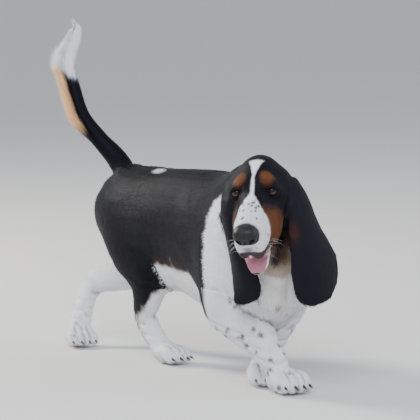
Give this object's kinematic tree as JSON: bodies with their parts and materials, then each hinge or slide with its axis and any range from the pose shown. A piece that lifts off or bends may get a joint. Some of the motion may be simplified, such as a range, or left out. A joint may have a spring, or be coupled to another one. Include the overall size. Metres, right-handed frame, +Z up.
{
  "type": "basset hound",
  "caption": "Basset hound walking with its tail raised, mouth open and face turned to its right, black, white and tan.",
  "frame": {"origin": "middle of the bounds, on the floor", "axes": "the dog walks towards -Y with +Z up and its left side towards +X"},
  "size_m": [0.3024, 0.8842, 0.6544],
  "materials": {
    "black_coat": "satin",
    "white_coat": "satin",
    "nose_skin": "satin",
    "tongue_skin": "satin",
    "eye_glass": "gloss",
    "claw_horn": "satin"
  },
  "bodies": {
    "root": {"claw_front_left_1": "claw_horn", "claw_front_left_2": "claw_horn", "claw_front_left_3": "claw_horn", "claw_front_left_4": "claw_horn", "claw_front_right_1": "claw_horn", "claw_front_right_2": "claw_horn", "claw_front_right_3": "claw_horn", "claw_front_right_4": "claw_horn", "claw_hind_left_1": "claw_horn", "claw_hind_left_2": "claw_horn", "claw_hind_left_3": "claw_horn", "claw_hind_left_4": "claw_horn", "claw_hind_right_1": "claw_horn", "claw_hind_right_2": "claw_horn", "claw_hind_right_3": "claw_horn", "claw_hind_right_4": "claw_horn", "ear_left": "black_coat", "ear_right": "black_coat", "eye_left": "eye_glass", "eye_right": "eye_glass", "foreleg_left": "white_coat", "foreleg_right": "white_coat", "forepaw_left": "white_coat", "forepaw_right": "white_coat", "head": "white_coat", "hindleg_left": "white_coat", "hindleg_right": "white_coat", "hindpaw_left": "white_coat", "hindpaw_right": "white_coat", "jaw": "white_coat", "neck": "black_coat", "nose": "nose_skin", "tail_base": "black_coat", "tail_middle": "black_coat", "tail_tip": "white_coat", "thigh_left": "black_coat", "thigh_right": "black_coat", "tongue": "tongue_skin", "torso": "black_coat"}
  },
  "joints": []
}
